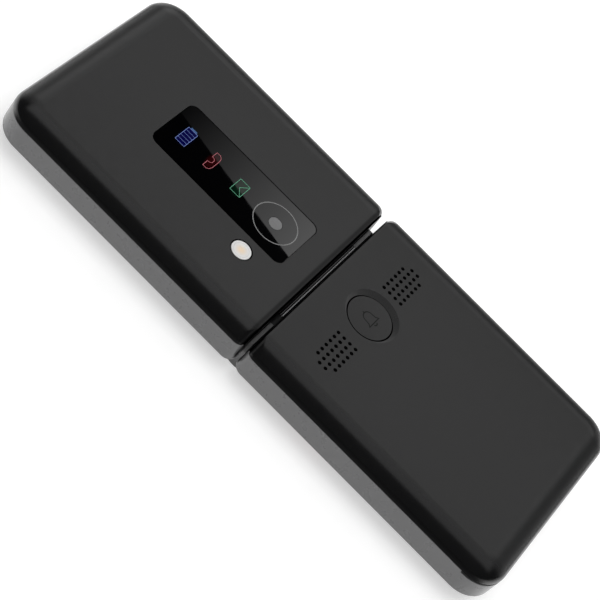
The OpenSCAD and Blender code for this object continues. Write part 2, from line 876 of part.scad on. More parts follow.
module shield_cans() color("#c9cacc") base_side() {
  for (s = [-1, 1])
    translate([s * can_x, can_y, z_board_top]) linear_extrude(can_t) round_rect(can_w, can_l, can_r);
}

// Inner chassis: it carries the battery, the loudspeakers and the alert switch
module battery_tray() color("#202022") base_side() {
  difference() {
    union() {
      intersection() {
        half_slab(frame_wall + fit, z_board_top, z_tray_rim);
        translate([-half_w, deck_y, z_board_top]) cube([body_w, half_reach, half_t]);
      }
      intersection() {
        half_slab(bay_inset, z_board_top, z_roof - 0.25);
        translate([-half_w, deck_y + 1.2, z_board_top]) cube([body_w, half_reach, half_t]);
      }
    }
    // battery pocket, and the opening in its floor for the SIM socket and the card's way in
    translate([-battery_w / 2 - battery_clear, battery_y - battery_clear, z_tray])
      cube([battery_w + 2 * battery_clear, battery_y1 - battery_y + 2 * battery_clear, half_t]);
    translate([-sim_w / 2 - pocket_clear, sim_y0 - pocket_clear, z_board_top - 1])
      cube([sim_w + 2 * pocket_clear, sim_l + sim_way + 2 * pocket_clear, half_t]);
    // contact block pocket
    translate([-contacts_w / 2 - pocket_clear, contacts_y0 - pocket_clear, z_tray])
      cube([contacts_w + 2 * pocket_clear, contacts_l + 3 * pocket_clear, half_t]);
    // loudspeaker pockets and the room under the alert button
    for (s = [-1, 1])
      translate([s * speaker_x, alert_y, speaker_z0])
        linear_extrude(half_t)
          round_rect(speaker_w + 2 * pocket_clear, speaker_l + 2 * pocket_clear, speaker_r + pocket_clear);
    translate([0, alert_y, switch_top - switch_h]) cylinder(r = alert_flange_r + 0.3, h = half_t);
    // shield can pockets from below
    for (s = [-1, 1])
      translate([s * can_x, can_y, z_board_top - 1])
        linear_extrude(1 + can_t + pocket_clear)
          square([can_w + 2 * pocket_clear, can_l + 2 * pocket_clear], center = true);
    // port, volume switches and screws
    usb_bar(usb_clear, usb_y0 - 0.3, half_reach);
    translate([volume_room_x, volume_y - volume_l / 2 - volume_room, z_board_top - 1])
      cube([half_w - volume_room_x, volume_l + 2 * volume_room, half_t]);
    at_base_screws() translate([0, 0, z_board_top - 1]) cylinder(r = screw_r + screw_clear, h = half_t);
    at_base_screws() translate([0, 0, z_screw_seat]) cylinder(r = screw_head_r + screw_clear, h = half_t);
  }
}

module base_screws() color("#9a9da0") base_side() at_base_screws() {
  difference() {
    union() {
      translate([0, 0, z_in + screw_tip]) cylinder(r = screw_r, h = z_screw_seat - z_in - screw_tip + eps);
      translate([0, 0, z_screw_seat]) cylinder(r = screw_head_r, h = screw_head_t);
    }
    translate([0, 0, z_screw_seat + screw_head_t / 2]) cylinder(r = screw_socket_r, h = 1, $fn = 6);
  }
}

module battery() color("#3d3f45") base_side()
  translate([0, (battery_y + battery_y1) / 2, z_tray + fit])
    linear_extrude(battery_t) round_rect(battery_w, battery_y1 - battery_y, battery_r);

module battery_contacts() color("#c8a24a") base_side() {
  translate([-contacts_w / 2, contacts_y0, z_tray]) cube([contacts_w, contacts_l, contacts_t]);
  for (i = [-1 : 1])
    translate([i * contacts_w / 4, contacts_y0 + contacts_l - eps, z_tray + contacts_t / 4])
      cube([contact_w, battery_clear, contacts_t / 2]);
}

module sim_socket() color("#b4b7ba") base_side()
  translate([-sim_w / 2, sim_y0, z_board_top])
    difference() {
      cube([sim_w, sim_l, sim_t]);
      // slot for the card, open towards the far end, and the window in the socket's roof
      translate([sim_rail, sim_rail, sim_floor]) cube([sim_w - 2 * sim_rail, sim_l, sim_slot_t]);
      translate([3 * sim_rail, 3 * sim_rail, sim_floor]) cube([sim_w - 6 * sim_rail, sim_l / 2, sim_t]);
    }

module loudspeakers() color("#17171a") base_side()
  for (s = [-1, 1])
    translate([s * speaker_x, alert_y, speaker_z0]) {
      difference() {
        linear_extrude(speaker_t) round_rect(speaker_w, speaker_l, speaker_r);
        translate([0, 0, speaker_t - speaker_front])
          linear_extrude(1)
            round_rect(speaker_w - 2 * speaker_rim, speaker_l - 2 * speaker_rim, 2 * speaker_r);
      }
      // cone with its dust cap
      translate([0, 0, speaker_t - speaker_front - eps]) cylinder(r1 = cone_r, r2 = cap_r, h = cone_h);
    }

module alert_switch() color("#8f9194") base_side() translate([0, alert_y, 0]) {
  translate([-switch_w / 2, -switch_w / 2, switch_top - switch_h])
    cube([switch_w, switch_w, switch_h - switch_cap_h]);
  translate([0, 0, switch_top - switch_cap_h - eps]) cylinder(r = switch_cap_r, h = switch_cap_h + eps);
}

module usb_port() color("#c4c6c9") base_side() {
  difference() {
    usb_bar(0, usb_y0, usb_y1);
    usb_bar(-usb_shell, usb_y0 + usb_back, usb_y1 + 1);
  }
  translate([-usb_tongue_w / 2, usb_y0 + usb_back - eps, usb_z - usb_tongue_t / 2])
    cube([usb_tongue_w, usb_l - usb_back - 1, usb_tongue_t]);
}

module microphone() color("#d0b060") base_side()
  translate([mic_x, mic_y, z_panel + fit])
    difference() {
      linear_extrude(z_board - z_panel - fit) round_rect(mic_w, mic_l, mic_hole_r);
      translate([0, 0, -1]) cylinder(r = mic_hole_r, h = 1 + mic_hole_r);
    }

module volume_key() color("#4c4c4f") base_side() {
  translate([volume_flange_x - eps, volume_y, volume_z])
    rotate([0, 90, 0])
      linear_extrude(half_w - fit - volume_flange_x + eps) round_rect(volume_h, volume_l, volume_h / 2 - eps);
  translate([volume_flange_x - volume_flange_t, volume_y, volume_z])
    rotate([0, 90, 0])
      linear_extrude(volume_flange_t)
        round_rect(volume_h, volume_l + 2 * volume_flange, volume_h / 2 - eps);
}

module volume_switches() color("#d6d6d2") base_side()
  for (s = [-1, 1])
    translate([volume_switch_x - volume_switch_t, volume_y + s * volume_l / 4 - volume_switch_l / 2,
               z_board_top])
      cube([volume_switch_t, volume_switch_l, volume_h]);

module base_flex() color("#b5742a") base_side() {
  r = base_coil_r;
  difference() {
    axis_tube(r, r - flex_t, base_flex_x0, base_tail_x0 + base_tail_w);
    translate([base_flex_x0 - 1, -flex_slit_y, z_axis - r - 1])
      cube([base_tail_x0 + base_tail_w - base_flex_x0 + 2, 1, r]);
  }
  // tail: out of the knuckle, then up to the board
  translate([base_tail_x0, 0, 0])
    rotate([90, 0, 90])
      linear_extrude(base_tail_w)
        polygon([
          [0, z_axis + r - flex_t],
          [deck_y + 1, z_axis + r - flex_t],
          [deck_y + 1, z_board],
          [deck_y + 1 - flex_t, z_board],
          [deck_y + 1 - flex_t, z_axis + r],
          [0, z_axis + r]
        ]);
}

module battery_cover() color("#38383a") base_side() {
  difference() {
    union() {
      difference() {
        cover_outside();
        difference() {
          cover_inside();
          snap_tabs(z_rim, z_rim + tab_post);
        }
      }
      snap_tabs(z_rim - tab_drop, z_rim + tab_root);
    }
    translate([0, alert_y, z_roof - 1]) cylinder(r = alert_hole_r, h = 4);
    // dish for the finger, open to one side of the button
    translate([dish_shift, alert_y, z_back - dish_depth])
      cylinder(r1 = dish_foot_r, r2 = dish_r + dish_slope * eps, h = dish_depth + eps);
    for (s = [-1, 1], col = [0 : grille_cols], row = [0 : grille_rows - 1])
      if (col < grille_cols || (row > 0 && row < grille_rows - 1))
        translate([s * (grille_x + col * grille_pitch),
                   alert_y + (row - (grille_rows - 1) / 2) * grille_pitch, z_roof - 1])
          cylinder(r = grille_hole_r, h = 3, $fn = 16);
  }
}

module speaker_mesh() color("#0c0c0e") base_side()
  for (s = [-1, 1])
    translate([s * speaker_x, alert_y, z_roof - mesh_t])
      linear_extrude(mesh_t) round_rect(speaker_w - 0.4, speaker_l - 0.8, 1);

module alert_button() color("#343436") base_side() translate([0, alert_y, 0]) {
  translate([0, 0, alert_flange_top - eps]) cylinder(r = alert_r, h = alert_top - alert_flange_top + eps);
  translate([0, 0, alert_flange_top - alert_flange_t]) cylinder(r = alert_flange_r, h = alert_flange_t);
  translate([0, 0, alert_bottom]) cylinder(r = alert_stem_r, h = alert_stem_h + eps);
}

// ---- Hinge ----

module hinge_cam() color("#8c8f93") {
  axis_bar(cam_r, -barrel_x + 1.1, cam_face);
  axis_bar(nose_r, cam_face - eps, collar_x1 - 0.8);
}

module hinge_cartridge() color("#151517") {
  difference() {
    union() {
      axis_bar(collar_r, collar_x0, collar_x1);
      axis_bar(barrel_bore_r - fit, collar_x1 - eps, cartridge_x1);
    }
    axis_bar(nose_r + running_clear, collar_x0 - eps, collar_x1 - 0.7);
  }
}

module hinge_pivot() color("#8c8f93")
  axis_tube(pivot_r, pivot_bore_r, pivot_x0, pivot_x1);

module barrel_lugs(grow) {
  for (x = [centre_x0 + 5, centre_x1 - 5])
    translate([x - lug_w / 2 - grow, 0, z_in + 0.3 - grow])
      cube([lug_w + 2 * grow, trough_out - 0.4 + grow, lug_h + 2 * grow]);
}

module hinge_barrel() color("#1b1b1d") {
  difference() {
    union() {
      axis_bar(barrel_r, centre_x0, centre_x1);
      barrel_lugs(0);
    }
    axis_bar(barrel_bore_r, centre_x0 - 1, centre_x1 + 1);
    lid_flex_slot();
  }
}

module lid_flex_slot() {
  translate([lid_flex_x0 - flex_room, 0, z_axis + lid_coil_r - flex_t - flex_room])
    cube([lid_flex_w + 2 * flex_room, deck_y, flex_t + 2 * flex_room]);
}

module lid_flex() color("#b5742a") {
  r = lid_coil_r;
  difference() {
    axis_tube(r, r - flex_t, lid_flex_x0, lid_flex_x0 + lid_flex_w);
    translate([lid_flex_x0 - 1, -flex_slit_y, z_axis - r - 1]) cube([lid_flex_w + 2, 1, r]);
  }
  translate([lid_flex_x0, 0, 0])
    rotate([90, 0, 90])
      linear_extrude(lid_flex_w)
        polygon([
          [0, z_axis + r - flex_t],
          [lid_board_y0 + 0.6, z_axis + r - flex_t],
          [lid_board_y0 + 0.6, z_lid_board],
          [lid_board_y0 + 0.6 - flex_t, z_lid_board],
          [lid_board_y0 + 0.6 - flex_t, z_axis + r],
          [0, z_axis + r]
        ]);
}

// ---- Lid ----

module at_lid_screws() {
  for (s = [-1, 1], y = [lid_screw_y, lid_screw_far]) translate([s * lid_screw_x, y, 0]) children();
}

module lid_frame() color("#6c6c6e") {
  difference() {
    union() {
      half_band();
      // inner deck round the screen
      translate([0, 0, z_in])
        linear_extrude(deck_t)
          difference() {
            half_plan(frame_wall - eps);
            translate([-half_w, 0]) square([body_w, 1]);
          }
      intersection() {
        at_lid_screws() translate([0, 0, z_in]) cylinder(r = lid_post_r, h = lid_post_top - z_in);
        half_slab(eps, z_in, z_rim);
      }
    }
    axis_bar(trough_r, -barrel_x - trough_clear, centre_x0);
    axis_bar(barrel_r + fit, centre_x0 - eps, centre_x1 + eps);
    axis_bar(trough_r, centre_x1, barrel_x + trough_clear);
    barrel_lugs(fit);
    lid_flex_slot();
    // recess for the display window, opening for the panel behind it, and the earpiece
    translate([0, glass_yc, z_in - 1])
      linear_extrude(glass_seat - z_in + 1)
        round_rect(glass_w + 2 * fit, glass_y1 - glass_y0 + 2 * fit, glass_r + fit);
    translate([-lcd_x - fit, lcd_y0 - fit, z_in]) cube([lcd_w + 2 * fit, lcd_l + 2 * fit, half_t]);
    translate([-receiver_w / 2 - fit, receiver_y - receiver_l / 2 - fit, glass_seat - eps])
      cube([receiver_w + 2 * fit, receiver_l + 2 * fit, half_t]);
    // bumper sockets and screw holes
    at_lid_screws() translate([0, 0, z_in - 1]) cylinder(r = bumper_r + fit, h = 1 + bumper_depth);
    at_lid_screws() translate([0, 0, z_in]) cylinder(r = screw_head_r + fit, h = lid_head_z - z_in + screw_head_t);
    at_lid_screws() translate([0, 0, z_in]) cylinder(r = screw_r + fit, h = half_t);
  }
}

module window_outline(grow) {
  translate([0, window_yc]) round_rect(window_w + 2 * grow, window_l + 2 * grow, max(window_r + grow, 0.4));
}

module lid_cover() color("#3a3a3c") {
  difference() {
    union() {
      difference() {
        cover_outside();
        difference() {
          cover_inside();
          snap_tabs(z_rim, z_rim + tab_post);
          // thicker frame that the outer window is glued to
          translate([0, 0, window_seat - window_frame_t])
            linear_extrude(half_t) window_outline(window_frame);
          at_lid_screws() translate([0, 0, lid_post_top]) cylinder(r = lid_boss_r, h = half_t);
        }
      }
      snap_tabs(z_rim - tab_drop, z_rim + tab_root);
      at_lid_screws() translate([0, 0, lid_post_top]) cylinder(r = lid_boss_r, h = lid_boss_h);
    }
    translate([0, 0, window_seat]) linear_extrude(half_t) window_outline(window_gap);
    translate([0, 0, window_seat - window_frame_t - 1]) linear_extrude(half_t) window_outline(-window_ledge);
    translate([-flash_x, flash_y, z_roof - 1]) cylinder(r = flash_r + flash_gap, h = cover_wall + 2);
    at_lid_screws()
      translate([0, 0, lid_post_top - 1]) cylinder(r = screw_r + 0.02, h = 1 + lid_screw_bite + screw_clear);
  }
}

module outer_window() color("#08080a") {
  difference() {
    translate([0, 0, window_seat]) linear_extrude(window_t) window_outline(0);
    translate([0, camera_y, window_seat - 1]) cylinder(r = lens_r + fit, h = 3);
  }
}

module camera_lens() color("#7b7b7b")
  translate([0, camera_y, window_seat]) cylinder(r = lens_r, h = window_t);

module camera_module() color("#26262a") translate([0, camera_y, 0]) {
  translate([-camera_w / 2, -camera_w / 2, z_lid_board_top])
    cube([camera_w, camera_w, window_seat - camera_neck - z_lid_board_top]);
  translate([0, 0, window_seat - camera_neck - eps]) cylinder(r = camera_neck_r, h = camera_neck);
}

module flash_lens() color("#f2f0ea") translate([-flash_x, flash_y, 0]) {
  translate([0, 0, z_roof - fit - flash_flange_t]) cylinder(r = flash_r + flash_flange, h = flash_flange_t);
  translate([0, 0, z_roof - fit - eps]) cylinder(r = flash_r, h = window_top - z_roof + fit + eps);
}

module flash_led() color("#e8c860")
  translate([-flash_x - flash_led_w / 2, flash_y - flash_led_w / 2, z_lid_board_top])
    cube([flash_led_w, flash_led_w, z_roof - fit - flash_flange_t - flash_led_gap - z_lid_board_top]);

module at_indicators() {
  for (i = [0 : 2]) translate([0, indicator_y0 + i * indicator_pitch, 0]) children();
}

module indicator_leds() color("#dfe6ef") at_indicators()
  translate([-led_w / 2, -led_l / 2, z_lid_board_top]) cube([led_w, led_l, led_t]);

module indicator_mask() color("#141416") {
  l = 2 * indicator_pitch + 2 * mask_end;
  difference() {
    translate([-mask_w / 2, indicator_y0 - mask_end, z_lid_board_top])
      cube([mask_w, l, window_seat - fit - z_lid_board_top]);
    at_indicators()
      translate([0, 0, z_lid_board_top - 1]) linear_extrude(half_t) round_rect(light_w, light_l, light_r);
  }
}

module lid_board() color("#1f4d33")
  difference() {
    translate([-lid_board_x, lid_board_y0, z_lid_board])
      cube([2 * lid_board_x, lid_board_y1 - lid_board_y0, board_t]);
    for (s = [-1, 1])
      translate([s * lid_board_x, lid_board_y1, z_lid_board])
        rotate([0, 0, 45]) cube([lid_board_cut, lid_board_cut, 4 * board_t], center = true);
  }

module display_panel() color("#202226")
  translate([-lcd_x, lcd_y0, z_lcd]) cube([lcd_w, lcd_l, lcd_t]);

module display_window() color("#08080a")
  difference() {
    translate([0, glass_yc, z_in + fit])
      linear_extrude(glass_t) round_rect(glass_w, glass_y1 - glass_y0, glass_r);
    translate([0, receiver_y, z_in])
      linear_extrude(2) round_rect(earpiece_w, earpiece_h, earpiece_h / 2 - eps);
  }

module receiver() color("#2c2c30")
  translate([-receiver_w / 2, receiver_y - receiver_l / 2, z_lcd])
    cube([receiver_w, receiver_l, receiver_t]);

module vibration_motor() color("#b9bcc0")
  translate([-lid_board_x + motor_r + motor_side, lid_board_y1 - motor_r - lid_board_cut, z_lid_board_top])
    cylinder(r = motor_r, h = motor_t);

module lid_screws() color("#9a9da0") at_lid_screws() {
  translate([0, 0, lid_head_z]) cylinder(r = screw_head_r, h = screw_head_t);
  translate([0, 0, lid_head_z + screw_head_t - eps])
    cylinder(r = screw_r, h = lid_post_top + lid_screw_bite - lid_head_z - screw_head_t);
}

module lid_bumpers() color("#141415") at_lid_screws()
  translate([0, 0, z_in - bumper_proud]) cylinder(r = bumper_r, h = bumper_proud + bumper_depth);

base_frame();
keypad_panel();
key_soft_left();
key_soft_right();
key_call();
key_end();
nav_ring();
key_ok();
number_key(0, 0);  // key_1
number_key(1, 0);  // key_2
number_key(2, 0);  // key_3
number_key(0, 1);  // key_4
number_key(1, 1);  // key_5
number_key(2, 1);  // key_6
number_key(0, 2);  // key_7
number_key(1, 2);  // key_8
number_key(2, 2);  // key_9
number_key(0, 3);  // key_star
number_key(1, 3);  // key_0
number_key(2, 3);  // key_hash
dome_sheet();
main_board();
shield_cans();
battery_tray();
base_screws();
battery();
battery_contacts();
sim_socket();
loudspeakers();
alert_switch();
usb_port();
microphone();
volume_key();
volume_switches();
base_flex();
battery_cover();
speaker_mesh();
alert_button();
hinge_cam();
hinge_cartridge();
hinge_pivot();
hinge_barrel();
lid_flex();
lid_frame();
lid_cover();
outer_window();
camera_lens();
camera_module();
flash_lens();
flash_led();
indicator_leds();
indicator_mask();
lid_board();
display_panel();
display_window();
receiver();
vibration_motor();
lid_screws();
lid_bumpers();
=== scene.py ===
"""Looks of the flip phone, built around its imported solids."""

import math

import bpy
from mathutils import Matrix, Vector


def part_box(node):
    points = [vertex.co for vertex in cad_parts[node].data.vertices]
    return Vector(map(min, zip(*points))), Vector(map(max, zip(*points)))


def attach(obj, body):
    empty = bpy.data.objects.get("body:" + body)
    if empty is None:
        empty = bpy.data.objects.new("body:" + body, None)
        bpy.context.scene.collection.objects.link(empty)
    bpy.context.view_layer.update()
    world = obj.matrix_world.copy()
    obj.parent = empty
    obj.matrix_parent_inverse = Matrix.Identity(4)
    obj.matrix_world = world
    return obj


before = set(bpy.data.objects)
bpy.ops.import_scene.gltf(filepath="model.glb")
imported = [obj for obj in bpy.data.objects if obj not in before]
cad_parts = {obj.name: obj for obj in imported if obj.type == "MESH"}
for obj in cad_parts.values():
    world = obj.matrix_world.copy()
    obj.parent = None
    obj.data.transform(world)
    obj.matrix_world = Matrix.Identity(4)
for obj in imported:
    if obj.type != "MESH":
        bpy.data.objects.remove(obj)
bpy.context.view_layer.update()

MM = 0.001
scene = bpy.context.scene
scene.view_settings.view_transform = "Standard"


# ---------------------------------------------------------------- node helpers

class Nodes:
    """Short calls for the shader nodes of one tree."""

    def __init__(self, tree):
        self.tree = tree
        tree.nodes.clear()

    def add(self, kind, inputs=None, **props):
        node = self.tree.nodes.new(kind)
        for key, value in props.items():
            setattr(node, key, value)
        for key, value in (inputs or {}).items():
            self.put(node.inputs[key], value)
        return node

    def put(self, socket, value):
        if isinstance(value, bpy.types.NodeSocket):
            self.tree.links.new(value, socket)
        else:
            socket.default_value = value

    def math(self, operation, a, b=0.0):
        return self.add("ShaderNodeMath", {0: a, 1: b}, operation=operation).outputs[0]

    def off(self, value, middle):
        """How far a value is from a middle one."""
        return self.math("ABSOLUTE", self.math("SUBTRACT", value, middle))

    def split(self, vector):
        """The x, y and z of a vector."""
        return self.add("ShaderNodeSeparateXYZ", {0: vector}).outputs

    def remap(self, value, low, high, to_low, to_high, smooth=True):
        node = self.add("ShaderNodeMapRange",
                        {"Value": value, "From Min": low, "From Max": high,
                         "To Min": to_low, "To Max": to_high},
                        interpolation_type="SMOOTHSTEP" if smooth else "LINEAR")
        return node.outputs["Result"]

    def mix(self, factor, a, b):
        node = self.add("ShaderNodeMix", data_type="RGBA")
        self.put(node.inputs[0], factor)
        self.put(node.inputs[6], a)
        self.put(node.inputs[7], b)
        return node.outputs[2]

    def place(self):
        """The point in the object's own millimetres."""
        spot = self.add("ShaderNodeTexCoord").outputs["Object"]
        return self.add("ShaderNodeVectorMath", {0: spot, "Scale": 1 / MM},
                        operation="SCALE").outputs[0]

    def noise(self, place, scale, detail=3.0):
        node = self.add("ShaderNodeTexNoise", {"Vector": place, "Scale": scale, "Detail": detail})
        return node.outputs[0]

    def distance(self, place, centre, stretch=(1, 1, 1)):
        """Distance in millimetres from a centre, with the axes stretched."""
        shift = self.add("ShaderNodeVectorMath", {0: place, 1: centre}, operation="SUBTRACT").outputs[0]
        scaled = self.add("ShaderNodeVectorMath", {0: shift, 1: stretch}, operation="MULTIPLY").outputs[0]
        return self.add("ShaderNodeVectorMath", {0: scaled}, operation="LENGTH").outputs["Value"]


def colour(rgb, k=1.0):
    return (rgb[0] * k, rgb[1] * k, rgb[2] * k, 1.0)


# Scale of the noise that clouds a colour and of the one that smudges its polish, in cycles per millimetre
CLOUD_SCALE, SMUDGE_SCALE = 0.16, 0.45
FLECKS = (0.35, 0.65, 0.0, 0.35)
SMUDGES = (0.3, 0.7)
BEVEL_SAMPLES = 6


def surface(name, rgb, rough=0.4, metal=0.0, specular=0.5, grain=6.0, bump=0.02, vary=0.12,
            rough_vary=0.06, edge=0.12, paint=None, stretch=(1, 1, 1)):
    """A material with broken edges, fine grain, and slight changes of colour and roughness.

    Grain is in cycles per millimetre, bump and edge are in millimetres. Edge may be a function that
    makes the radius from the place, and paint one that changes the finished shader.
    """
    material = bpy.data.materials.new(name)
    material.use_nodes = True
    n = Nodes(material.node_tree)
    place = n.place()
    grained = n.add("ShaderNodeVectorMath", {0: place, 1: stretch}, operation="MULTIPLY").outputs[0]
    cloudy = n.noise(place, CLOUD_SCALE, 4.0)
    fine = n.noise(grained, grain, 2.0)
    base = n.mix(cloudy, colour(rgb, 1 - vary), colour(rgb, 1 + vary))
    base = n.mix(n.remap(fine, *FLECKS), base, colour(rgb, 1 + 2 * vary))
    roughness = n.remap(n.noise(place, SMUDGE_SCALE), *SMUDGES, rough - rough_vary, rough + rough_vary)
    shader = n.add("ShaderNodeBsdfPrincipled")
    shader.inputs["Metallic"].default_value = metal
    shader.inputs["Specular IOR Level"].default_value = specular
    n.put(shader.inputs["Base Color"], base)
    n.put(shader.inputs["Roughness"], roughness)
    radius = edge(n, place) if callable(edge) else edge * MM
    rounded = n.add("ShaderNodeBevel", {"Radius": radius}, samples=BEVEL_SAMPLES)
    relief = n.add("ShaderNodeBump", {"Strength": 1.0, "Distance": bump * MM, "Height": fine,
                                      "Normal": rounded.outputs[0]})
    n.put(shader.inputs["Normal"], relief.outputs[0])
    if paint:
        paint(n, place, shader, base)
    out = n.add("ShaderNodeOutputMaterial")
    n.put(out.inputs["Surface"], shader.outputs[0])
    return material


def dress(material, *nodes):
    """Gives CAD nodes a material."""
    for node in nodes:
        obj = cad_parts[node]
        obj.data.materials.clear()
        obj.data.materials.append(material)


# ------------------------------------------------------------------- materials
# A range of four numbers says where a change begins and ends, and then its two values.
# Places are in millimetres of the row frame.

WINDOW_TOP = 12.99


def spot_of(node):
    """The middle of a node in plan, at the height of the backs."""
    low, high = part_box(node)
    middle = (low + high) / 2 / MM
    return middle.x, middle.y, WINDOW_TOP


CAMERA_SPOT = spot_of("camera_lens")
FLASH_SPOT = spot_of("flash_lens")
BUTTON_SPOT = spot_of("alert_button")

# Middle of each sign in the outer window, the colour of its glow, and the stretch of the glow's plan
ICONS = {
    "battery": ((-0.49, 39.68, WINDOW_TOP), (0.0005, 0.001, 0.026), (1.0, 1.8, 1.0)),
    "handset": ((-0.12, 32.48, WINDOW_TOP), (0.020, 0.0006, 0.001), (1.0, 2.3, 1.0)),
    "message": ((0.0, 24.55, WINDOW_TOP), (0.0006, 0.010, 0.004), (1.0, 1.7, 1.0)),
}
GLOW_REACH = (1.2, 3.5, 1.0, 0.0)
GLASS_FADE_Y = (8.0, 46.0, 1.0, 0.0)
GLASS_FADE_POWER = 1.7
GLASS_SPECULAR = (0.0, 1.0, 0.008, 0.51)


def paint_outer_glass(n, place, shader, base):
    """Faint light of the three indicators round their signs, and a mirror that fades to the far end."""
    total = None
    for centre, rgb, stretch in ICONS.values():
        near = n.remap(n.distance(place, centre, stretch), *GLOW_REACH)
        glow = n.mix(near, (0, 0, 0, 1), colour(rgb))
        if total is None:
            total = glow
        else:
            both = n.add("ShaderNodeMix", data_type="RGBA", blend_type="ADD")
            both.inputs[0].default_value = 1.0
            n.put(both.inputs[6], total)
            n.put(both.inputs[7], glow)
            total = both.outputs[2]
    n.put(shader.inputs["Emission Color"], total)
    shader.inputs["Emission Strength"].default_value = 1.0
    fade = n.math("POWER", n.remap(n.split(place)[1], *GLASS_FADE_Y, smooth=False), GLASS_FADE_POWER)
    n.put(shader.inputs["Specular IOR Level"], n.remap(fade, *GLASS_SPECULAR, smooth=False))


HINGE_EDGE_Y = (1.5, 2.7)
SOFT_EDGE, FINE_EDGE = 0.62, 0.14


def hinge_rounding(n, place):
    """Bevel radius of a cover: soft along the edge beside the hinge, small elsewhere."""
    aside = n.math("ABSOLUTE", n.split(place)[1])
    return n.remap(aside, *HINGE_EDGE_Y, SOFT_EDGE * MM, FINE_EDGE * MM)


# Radius and half width of the painted shade: black rings in the gaps round the flash and the button
FLASH_GAP = (2.44, 0.08)
BUTTON_GAP = (5.4, 0.13)
GAP_EDGE = 0.09
GAP_SHADE_BLACK = (0.0004, 0.0004, 0.0004, 1)


def gap_shade_ring(n, place, centre, radius, half):
    """Mask of a painted shade ring: 0 inside a narrow ring round a centre, 1 elsewhere."""
    away = n.off(n.distance(place, centre, (1, 1, 0)), radius)
    return n.remap(away, half, half + GAP_EDGE, 0.0, 1.0)


# Where a cover changes, by |y|, by x or y, or by the x and y of its normal
# Painted shade: below this |y| the cover's end wall beside the hinge is painted black
COVER_WALL_SHADE = (1.0, 1.15, 0.0, 1.0)
EDGE_LINE_Y, EDGE_LINE = 1.62, (0.12, 0.75, 0.35, 1.0)
FAR_RIM = (58.0, 60.0, 0.0, 1.0)
FAR_RIM_NORMAL = (0.3, 0.8, 0.0, 1.0)
FAR_RIM_SHINE = (0.0, 1.0, 1.0, 2.2)
FAR_RIM_ROUGH = (0.0, 1.0, 1.0, 0.75)
SHINE_ACROSS = (-20.0, 26.0, 0.44, 0.252)
FILLET_SHINE = (23.2, 26.2, 1.0, 0.12)
FILLET_ROUGH = (-0.3, -0.06, 0.6, 1.0)
BASE_SHINE = (-4.0, 4.0, 0.88, 1.0)
BASE_END_SHINE = (-60.0, -15.0, 0.88, 1.0)
BAND_SEAM_SHINE = (-0.92, -0.65, 0.1, 1.0)


def paint_cover(n, place, shader, base):
    """Painted shade: black rings in the gaps round the lens and button, and black end walls beside the
    hinge; also a soft dark line beside the hinge, smoother far rims.
    """
    across, along, _ = n.split(place)
    aside = n.math("ABSOLUTE", along)
    gap = n.math("MULTIPLY", gap_shade_ring(n, place, FLASH_SPOT, *FLASH_GAP),
                 gap_shade_ring(n, place, BUTTON_SPOT, *BUTTON_GAP))
    off_wall_shade = n.remap(aside, *COVER_WALL_SHADE)
    # Painted shade: the gap rings and the cover's end walls beside the hinge are painted black, with less
    # reflection there
    n.put(shader.inputs["Base Color"], n.mix(n.math("MULTIPLY", gap, off_wall_shade), GAP_SHADE_BLACK, base))
    facing = n.split(n.add("ShaderNodeTexCoord").outputs["Normal"])
    far = n.math("MULTIPLY", n.remap(aside, *FAR_RIM),
                 n.remap(n.math("ABSOLUTE", facing[1]), *FAR_RIM_NORMAL))
    shine = n.remap(across, *SHINE_ACROSS, smooth=False)
    factors = [n.remap(across, *FILLET_SHINE), n.remap(along, *BASE_SHINE),
               n.remap(along, *BASE_END_SHINE), n.remap(far, *FAR_RIM_SHINE),
               n.remap(facing[0], *BAND_SEAM_SHINE), gap,
               n.remap(n.off(along, EDGE_LINE_Y), *EDGE_LINE), off_wall_shade]
    for factor in factors:
        shine = n.math("MULTIPLY", shine, factor)
    n.put(shader.inputs["Specular IOR Level"], shine)
    rough = shader.inputs["Roughness"].links[0].from_socket
    smoother = n.math("MULTIPLY", n.remap(far, *FAR_RIM_ROUGH), n.remap(facing[0], *FILLET_ROUGH))
    n.put(shader.inputs["Roughness"], n.math("MULTIPLY", rough, smoother))


BUTTON_SPECULAR = 0.31


def paint_button(n, place, shader, base):
    """Painted shade: a black ring in the gap round the button."""
    gap = gap_shade_ring(n, place, BUTTON_SPOT, *BUTTON_GAP)
    n.put(shader.inputs["Base Color"], n.mix(gap, GAP_SHADE_BLACK, base))
    n.put(shader.inputs["Specular IOR Level"], n.math("MULTIPLY", gap, BUTTON_SPECULAR))


# Painted shade on the bands in the hinge gap, by |x|, by height and by |y|
INSIDE_ENDS = (27.4, 27.9, 1.0, 0.0)
HIGH_WALL_Z, HIGH_WALL_Y = (8.35, 8.55, 0.0, 1.0), (1.05, 1.2, 1.0, 0.0)
KNUCKLE_Z, KNUCKLE_Y = (5.0, 5.4, 0.0, 1.0), (1.3, 1.5, 1.0, 0.0)
KNUCKLE_TOP_Y, KNUCKLE_TOP = 0.08, (0.32, 0.46, 0.4, 1.0)
BAND_SHADE_BLACK = (0.001, 0.001, 0.001, 1)
BAND_SPECULAR = (0.0, 1.0, 0.55, 0.02)


